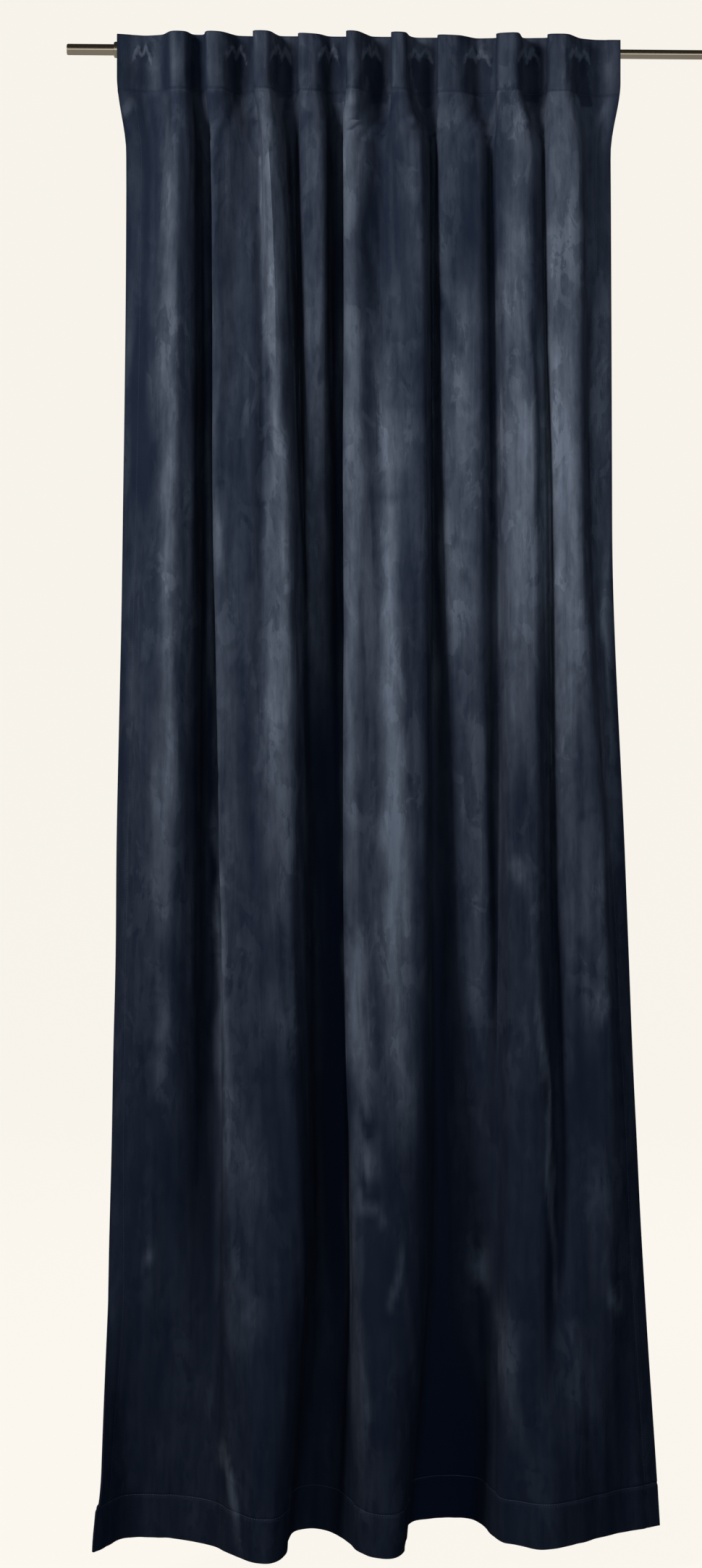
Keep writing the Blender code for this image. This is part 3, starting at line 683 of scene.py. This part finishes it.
in_heading = smooth_step(*HEADING_FADE, from_top)
on_fold = smooth_step(*FOLD_DEPTHS, out_of_hollow)
heading_nap_and_light = HEADING_HOLLOW_SHADE + (HEADING_FOLD_LIGHT - HEADING_HOLLOW_SHADE) * on_fold
heading_nap_and_light += HEADING_MARK_LIGHT * near_mark * (1.0 - on_fold)
heading_nap_and_light *= 1.0 - LEFT_WALL_SHADE * smooth_step(*LEFT_WALL_TURN, outward[:, :, 0])
heading_streaks = HEADING_STREAKS * soft_noise(*HEADING_STREAK_CELL, 8)
heading_clouds = HEADING_CLOUDS * soft_noise(*HEADING_CLOUD_CELL, 9)
heading_nap_and_light *= 1.0 + heading_streaks + heading_clouds
for spot in HEADING_SPOTS:
    beside = bump_at(across, spot.across, spot.across_reach)
    heading_nap_and_light += spot.share * beside * bump_at(height, spot.height, spot.height_reach)
nap = np.maximum(nap, LEAST_NAP - HOLLOW_SHADE_DROP * in_hollow)
nap += (heading_nap_and_light - nap) * in_heading
# Painted shade along the stitch line's trough, and a painted highlight just below it on the folds.
nap *= 1.0 - STITCH_LINE_SHADE * bump_at(from_top, HEADING_DEPTH, STITCH_LINE_REACH)
under_line = bump_at(from_top, HEADING_DEPTH + UNDER_LINE_DROP, UNDER_LINE_REACH)
nap += UNDER_LINE_HIGHLIGHT * under_line * on_fold
nap *= smooth_step(0.0, RIM_FADE, np.minimum(from_top + TOP_RIM, from_bottom + BOTTOM_RIM))
nap *= SIDE_RIM_NAP + (1.0 - SIDE_RIM_NAP) * smooth_step(0.0, RIM_FADE, from_side)
nap = np.clip(nap, LEAST_NAP - HOLLOW_SHADE_DROP, 1.0)
pressed_and_shaded_mark *= 1.0 - on_fold

FLAT_MAP = "flat_place"
SEAM_WIDTH = 0.001
SMOOTH_ANGLE = math.radians(50.0)

bpy.ops.mesh.primitive_grid_add(x_subdivisions=COLUMNS - 1, y_subdivisions=rows - 1, size=2.0)
curtain = bpy.context.object
curtain.name = "curtain_cloth"
flat = np.zeros(len(curtain.data.vertices) * 3)
curtain.data.vertices.foreach_get("co", flat)
flat = flat.reshape(-1, 3)
column_of = np.rint((flat[:, 0] + 1.0) / 2.0 * (COLUMNS - 1)).astype(int)
row_of = np.rint((1.0 - flat[:, 1]) / 2.0 * (rows - 1)).astype(int)
curtain.data.vertices.foreach_set("co", sheet[row_of, column_of].ravel())
layers = {"nap": nap, "crimp_aside": crimp_aside, "mark_depth": mark_depth, "pressed_and_shaded_mark": pressed_and_shaded_mark}
for layer_name, layer in layers.items():
    written = curtain.data.attributes.new(layer_name, "FLOAT", "POINT")
    written.data.foreach_set("value", layer[row_of, column_of].astype(np.float32))

on_heading = from_top < HEADING_DEPTH + SEAM_WIDTH
on_hem = from_bottom < HEM_DEPTH + SEAM_WIDTH
on_side = from_side < SIDE_HEM + SEAM_WIDTH
doubled = (on_heading | on_hem | on_side)[row_of, column_of]
group = curtain.vertex_groups.new(name="doubled")
group.add(np.nonzero(doubled)[0].tolist(), 1.0, "REPLACE")
uv_map = curtain.data.uv_layers.active
uv_map.name = FLAT_MAP
corners = np.zeros(len(curtain.data.loops), dtype=int)
curtain.data.loops.foreach_get("vertex_index", corners)
flat_place = np.column_stack([lefts[column_of], downs[row_of]])
uv_map.data.foreach_set("uv", flat_place[corners].ravel())

solidify = curtain.modifiers.new("thickness", "SOLIDIFY")
solidify.thickness = DOUBLE_THICKNESS
solidify.offset = -1.0
solidify.use_even_offset = False
solidify.vertex_group = group.name
solidify.thickness_vertex_group = SINGLE_THICKNESS / DOUBLE_THICKNESS
bpy.ops.object.modifier_apply(modifier=solidify.name)
bpy.ops.object.shade_smooth_by_angle(angle=SMOOTH_ANGLE)


class Shade:
    """One socket of a finish. A sum or product of shades adds the Math node that it needs."""

    def __init__(self, finish, socket):
        self.finish = finish
        self.socket = socket

    def math(self, operation, first, second):
        return self.finish.add("Math", {"operation": operation}, {0: first, 1: second})

    def __add__(self, other):
        return self.math("ADD", self, other)

    def __sub__(self, other):
        return self.math("SUBTRACT", self, other)

    def __rsub__(self, other):
        return self.math("SUBTRACT", other, self)

    def __mul__(self, other):
        return self.math("MULTIPLY", self, other)

    def __pow__(self, other):
        return self.math("POWER", self, other)

    def __abs__(self):
        return self.finish.add("Math", {"operation": "ABSOLUTE"}, {0: self})

    __radd__ = __add__
    __rmul__ = __mul__


class Finish:
    """A material put together from shades."""

    def __init__(self, name):
        self.material = bpy.data.materials.new(name)
        self.material.use_nodes = True
        self.tree = self.material.node_tree
        self.shader = self.tree.nodes["Principled BSDF"]

    def put(self, socket, value):
        """Links a shade to a socket, or sets a plain value on it."""
        if isinstance(value, Shade):
            self.tree.links.new(value.socket, socket)
        elif isinstance(value, tuple) and len(value) == 3 and socket.type == "RGBA":
            socket.default_value = (*value, 1.0)
        else:
            socket.default_value = value

    def add(self, kind, settings, values, output=0):
        """Adds a node of a kind, with its settings first and then its sockets' values."""
        node = self.tree.nodes.new("ShaderNode" + kind)
        for name, value in settings.items():
            setattr(node, name, value)
        for key, value in values.items():
            self.put(node.inputs[key], value)
        return Shade(self, node.outputs[output])

    def layer(self, name):
        """Reads a value that is kept at each point of the cloth."""
        return self.add("Attribute", {"attribute_name": name}, {}, "Fac")

    def stretch(self, place, x, y, z=1.0):
        """Scales a place, so that a pattern has its own number of cells a metre each way."""
        return self.add("VectorMath", {"operation": "MULTIPLY"}, {0: place, 1: (x, y, z)})

    def noise(self, place, detail=2.0, roughness=0.5, distortion=0.0):
        """Soft noise from 0 to 1, with cells one unit wide."""
        values = {"Vector": place, "Scale": 1.0, "Detail": detail, "Roughness": roughness}
        return self.add("TexNoise", {}, {**values, "Distortion": distortion})

    def between(self, share, low, high):
        """Moves from 0 at low to 1 at high, softly."""
        values = {"Value": share, "From Min": low, "From Max": high}
        return self.add("MapRange", {"interpolation_type": "SMOOTHSTEP"}, values)

    def pattern(self, place, row):
        """Soft noise from a row of a pattern table, with its tones moved apart."""
        cells = self.stretch(place, *row.cells)
        noise = self.noise(cells, row.detail, row.roughness, row.distortion)
        return self.between(noise, row.low, row.high)

    def blend(self, share, first, second):
        """Mixes two colours."""
        return self.add("Mix", {"data_type": "RGBA"}, {0: share, 6: first, 7: second}, 2)

    def bump(self, height, distance):
        """Raises the surface by a height from 0 to 1, times a distance in metres."""
        self.put(self.shader.inputs["Normal"], self.add("Bump", {}, {"Height": height, "Distance": distance}))

    def set(self, **values):
        """Sets the shader's sockets, named with _ for a blank."""
        for name, value in values.items():
            self.put(self.shader.inputs[name.replace("_", " ")], value)


VELVET_SHADE_TONE = (0.0025, 0.0046, 0.0108)
VELVET_DARK = (0.0036, 0.0055, 0.0106)
VELVET_LIGHT = (0.0460, 0.0570, 0.0765)
SHEEN_TINT = (0.45, 0.62, 1.0)
Pattern = namedtuple("Pattern", ("cells", "detail", "roughness", "distortion", "low", "high"))
STREAKS = Pattern((75.0, 40.0, 6.0), 4.0, 0.6, 0.4, 0.30, 0.70)
CLOUDS = Pattern((26.0, 20.0, 13.0), 5.0, 0.62, 0.7, 0.32, 0.68)
BRUSH = Pattern((150.0, 80.0, 48.0), 4.0, 0.6, 0.5, 0.30, 0.70)
MARKS = Pattern((36.0, 24.0, 15.0), 5.0, 0.62, 0.6, 0.505, 0.535)
PRESS = Pattern((20.0, 14.0, 7.0), 2.0, 0.5, 0.0, 0.35, 0.65)
STREAKS_SHARE = 0.32
CLOUDS_SHARE = 0.22
BRUSH_SHARE = 0.16
MARKS_SHARE = 0.34
MOTTLE_MIDDLE = 0.42
MOTTLE = 1.10
MOTTLE_POWER = 0.7
PILE_CELLS = (700.0, 420.0)
PILE_MOTTLE = 0.02
WOBBLE_CELLS = (70.0, 60.0)
M_WOBBLE = 2.2
M_WIDTH_WOBBLE = 1.6
M_WIDTH_EDGE = (2.5, 2.1)
M_LIGHT = 0.27
M_LIGHT_EDGE = (0.70, 0.15)
MARK_WOBBLE = 0.016
MARK_EDGE = (-0.001, 0.002)
MARK_PRESS_AND_SHADE = 0.68
SHADE_TONE_EDGE = (-0.04, 0.005)

velvet = Finish("navy_velvet")
cloth_place = velvet.add("UVMap", {"uv_map": FLAT_MAP}, {})
nap_and_light_here = velvet.layer("nap")
hung_place = velvet.add("TexCoord", {}, {}, "Object")
streaks = velvet.pattern(hung_place, STREAKS)
clouds = velvet.pattern(hung_place, CLOUDS)
brush = velvet.pattern(hung_place, BRUSH)
pile = velvet.noise(velvet.stretch(cloth_place, *PILE_CELLS), 2.0, 0.6)
marks = velvet.pattern(hung_place, MARKS)
press = velvet.pattern(hung_place, PRESS)
soft_mottle = streaks * STREAKS_SHARE + clouds * CLOUDS_SHARE + brush * BRUSH_SHARE
mottle = soft_mottle + marks * press * MARKS_SHARE - MOTTLE_MIDDLE
lit_lay = nap_and_light_here.math("MAXIMUM", nap_and_light_here, 0.0)
share = nap_and_light_here + mottle * lit_lay ** MOTTLE_POWER * MOTTLE + (pile - 0.5) * PILE_MOTTLE

# Painted highlight and shade: the M of each crimp is painted lighter where it catches the light, and the
# cloth pressed down below it is painted dark, partly for its pressed nap and partly as painted shade.
crimp_aside_here = velvet.layer("crimp_aside")
crimp_fold = abs(crimp_aside_here - 1.0)
down_cloth = velvet.add("SeparateXYZ", {}, {0: cloth_place}, 1)
wobble = velvet.noise(velvet.stretch(cloth_place, *WOBBLE_CELLS), 3.0, 0.6, 0.5) - 0.5
below_crimp = (down_cloth - (CLOTH_TOP - M_TOP)) * (1.0 / M_DROP) - crimp_fold + wobble * M_WOBBLE
crimp_width = velvet.between(crimp_aside_here + wobble * M_WIDTH_WOBBLE, *M_WIDTH_EDGE)
ridge_light = velvet.between(abs(below_crimp), *M_LIGHT_EDGE)
mark_depth_here = velvet.layer("mark_depth") + wobble * MARK_WOBBLE
mark = velvet.between(mark_depth_here, *MARK_EDGE) * velvet.layer("pressed_and_shaded_mark")
share = share - share * mark * MARK_PRESS_AND_SHADE + ridge_light * crimp_width * M_LIGHT
# Painted shade: where painted shade takes the share below nothing, as in the hollows, the colour turns to a
# deeper, bluer shade tone.
depth = velvet.between(share, *SHADE_TONE_EDGE)
share = velvet.add("Clamp", {}, {"Value": share})
lit_tone = velvet.blend(share, VELVET_DARK, VELVET_LIGHT)
velvet.set(Base_Color=velvet.blend(depth, VELVET_SHADE_TONE, lit_tone), Roughness=0.80 + pile * 0.15)
velvet.set(Specular_IOR_Level=0.0, Sheen_Weight=0.004, Sheen_Roughness=0.38, Sheen_Tint=SHEEN_TINT)
velvet.bump(pile * 0.5 + streaks * 0.5, 0.0006)

WOVEN_DARK = (0.010, 0.013, 0.024)
WOVEN_LIGHT = (0.026, 0.032, 0.050)
# A wave texture repeats every 0.314 m divided by its scale.
WEAVE_SCALE = 65.0
SLUB_CELLS = (60.0, 400.0)

woven = Finish("woven_back")
back_place = woven.add("UVMap", {"uv_map": FLAT_MAP}, {})
weave = {"Vector": back_place, "Scale": WEAVE_SCALE}
warp = woven.add("TexWave", {"bands_direction": "X"}, weave)
weft = woven.add("TexWave", {"bands_direction": "Y"}, weave)
slub = woven.noise(woven.stretch(back_place, *SLUB_CELLS), 3.0)
crossing = warp * weft
tone = crossing * 0.6 + slub * 0.5
woven.set(Base_Color=woven.blend(tone, WOVEN_DARK, WOVEN_LIGHT), Roughness=0.85 + slub * 0.1)
woven.set(Specular_IOR_Level=0.15, Sheen_Weight=0.05, Sheen_Roughness=0.5)
woven.bump(crossing, 0.0003)

curtain.data.materials.append(velvet.material)
curtain.data.materials.append(woven.material)
face_count = len(curtain.data.polygons)
finish_of = np.zeros(face_count, dtype=np.int32)
front_count = (COLUMNS - 1) * (rows - 1)
finish_of[front_count:2 * front_count] = 1
corner_place = np.zeros(len(curtain.data.loops) * 2)
curtain.data.uv_layers.active.data.foreach_get("uv", corner_place)
corner_place = corner_place.reshape(-1, 2)
first_corner = np.zeros(face_count, dtype=int)
curtain.data.polygons.foreach_get("loop_start", first_corner)
face_place = np.mean([corner_place[first_corner + turn] for turn in range(4)], axis=0)
face_side = np.minimum(face_place[:, 0], CLOTH_WIDTH - face_place[:, 0])
turned_over = (face_place[:, 1] < HEADING_DEPTH) | (face_place[:, 1] > CLOTH_DROP - HEM_DEPTH)
turned_over |= face_side < SIDE_HEM
finish_of[turned_over] = 0
curtain.data.polygons.foreach_set("material_index", finish_of)

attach(curtain, "root")
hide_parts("curtain")

# The seams: lockstitch in navy thread along the heading, the bottom hem and the side hems.
# One stitch is modelled and copied along each seam; every seam is one joined mesh.
STITCH_LENGTH = 0.0030
STITCH_PITCH = 0.0042
STITCH_WIDTH = 0.0007
STITCH_SINK = 0.0001
STITCH_AHEAD = 0.2
SEAM_MARGIN = 0.004
GRID_SLACK = 0.001
TWIST_CELLS = (2600.0, 2600.0, 2600.0)

bpy.ops.mesh.primitive_uv_sphere_add(segments=6, ring_count=4, radius=1.0)
stitch = bpy.context.object
stitch_points = np.array([vertex.co[:] for vertex in stitch.data.vertices])
stitch_points *= (STITCH_WIDTH / 2.0, STITCH_WIDTH / 2.0, STITCH_LENGTH / 2.0)
stitch_faces = [list(face.vertices) for face in stitch.data.polygons]
bpy.data.objects.remove(stitch)


def on_sheet(grid_values, right, low):
    """Reads the cloth's grid at a place given from its left and its top edge."""
    column = min(right / CLOTH_WIDTH * (COLUMNS - 1), COLUMNS - 1 - GRID_SLACK)
    line = min(np.interp(low, downs, np.arange(rows)), rows - 1 - GRID_SLACK)
    c = int(column)
    r = int(line)
    over = grid_values[r, c] * (c + 1 - column) + grid_values[r, c + 1] * (column - c)
    under = grid_values[r + 1, c] * (c + 1 - column) + grid_values[r + 1, c + 1] * (column - c)
    return over * (r + 1 - line) + under * (line - r)


def spin_thread(name, dark, light):
    """A twisted thread between two tones."""
    thread = Finish(name)
    thread_place = thread.add("TexCoord", {}, {}, "Object")
    twist = thread.noise(thread.stretch(thread_place, *TWIST_CELLS), 1.0)
    thread.set(Base_Color=thread.blend(twist, dark, light), Roughness=0.42 + twist * 0.2)
    thread.set(Specular_IOR_Level=0.3)
    thread.bump(twist, 0.0001)
    return thread


dark_thread = spin_thread("dark_navy_thread", (0.006, 0.008, 0.016), (0.020, 0.025, 0.040))
light_thread = spin_thread("light_navy_thread", (0.030, 0.038, 0.060), (0.070, 0.084, 0.118))


def sew(name, thread, seam_start, seam_end):
    """Sews a straight seam between two flat places of the cloth."""
    seam_start = np.array(seam_start)
    seam = np.array(seam_end) - seam_start
    count = int(np.hypot(*seam) / STITCH_PITCH)
    points = []
    faces = []
    for index in range(count):
        here = seam_start + seam * (index + 0.5) / count
        ahead = here + seam / count * STITCH_AHEAD
        place = on_sheet(sheet, *here)
        along = on_sheet(sheet, *ahead) - place
        along /= np.linalg.norm(along)
        out = on_sheet(outward, *here)
        out -= along * np.dot(out, along)
        out /= np.linalg.norm(out)
        turn = np.array([np.cross(along, out), out, along])
        first = len(points) * len(stitch_points)
        points.append(stitch_points @ turn + place - out * STITCH_SINK)
        faces += [[first + corner for corner in face] for face in stitch_faces]
    mesh = bpy.data.meshes.new(name)
    mesh.from_pydata(np.vstack(points).tolist(), [], faces)
    mesh.materials.append(thread.material)
    mesh.shade_smooth()
    seam_piece = bpy.data.objects.new(name, mesh)
    scene.collection.objects.link(seam_piece)
    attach(seam_piece, "root")
    return seam_piece


hem_line = CLOTH_DROP - HEM_DEPTH
side_line = CLOTH_WIDTH - SIDE_HEM
last = CLOTH_WIDTH - SEAM_MARGIN
top = HEADING_DEPTH + SEAM_MARGIN
bottom = hem_line - SEAM_MARGIN
seams = [
    sew("heading_seam", dark_thread, (SEAM_MARGIN, HEADING_DEPTH), (last, HEADING_DEPTH)),
    sew("hem_seam", light_thread, (SEAM_MARGIN, hem_line), (last, hem_line)),
    sew("side_seam_left", dark_thread, (SIDE_HEM, top), (SIDE_HEM, bottom)),
    sew("side_seam_right", dark_thread, (side_line, top), (side_line, bottom)),
]

# The back tabs: strips of navy webbing sewn across the heading's back over the rod.
# They keep their modelled shape and get a slanting twill.
WEBBING_DARK = (0.008, 0.011, 0.022)
WEBBING_LIGHT = (0.028, 0.035, 0.056)
TWILL_SCALE = 45.0
TWILL_SLANT = (0.0, math.radians(35.0), 0.0)
WEAR_CELLS = (220.0, 220.0, 90.0)

tab_cloth = Finish("navy_webbing")
tab_place = tab_cloth.add("TexCoord", {}, {}, "Object")
slant = tab_cloth.add("Mapping", {}, {"Vector": tab_place, "Rotation": TWILL_SLANT})
twill = tab_cloth.add("TexWave", {"bands_direction": "X"}, {"Vector": slant, "Scale": TWILL_SCALE})
wear = tab_cloth.noise(tab_cloth.stretch(tab_place, *WEAR_CELLS), 3.0)
tab_cloth.set(
    Base_Color=tab_cloth.blend(twill * 0.5 + wear * 0.5, WEBBING_DARK, WEBBING_LIGHT),
    Roughness=0.8 + wear * 0.15,
    Specular_IOR_Level=0.2,
)
tab_cloth.bump(twill, 0.0003)


def refinish(node_name, finish):
    """Gives a carried-over node its finish."""
    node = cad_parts[node_name]
    node.data.materials.clear()
    node.data.materials.append(finish.material)


for number in range(1, len(TAB_PLACES) + 1):
    refinish(f"back_tab_{number:02d}", tab_cloth)

# The rod: a plain tube with its turned end piece, collar and cap, all of brushed steel.
# The brushing runs round the tube, so its reflections are drawn out along the rod.
STEEL_DARK = (0.52, 0.485, 0.425)
STEEL_LIGHT = (0.69, 0.65, 0.58)
BRUSHING_CELLS = (2400.0, 60.0, 60.0)
HAZE_CELLS = (14.0, 60.0, 60.0)

steel = Finish("brushed_steel")
steel_place = steel.add("TexCoord", {}, {}, "Object")
brushing = steel.noise(steel.stretch(steel_place, *BRUSHING_CELLS), 3.0, 0.6)
haze = steel.noise(steel.stretch(steel_place, *HAZE_CELLS), 2.0)
steel.set(
    Base_Color=steel.blend(brushing * 0.6 + haze * 0.4, STEEL_DARK, STEEL_LIGHT),
    Metallic=1.0,
    Roughness=0.10 + brushing * 0.08 + haze * 0.05,
)
steel.bump(brushing, 0.00002)
for node_name in ("rod", "finial_left", "cap_right"):
    refinish(node_name, steel)
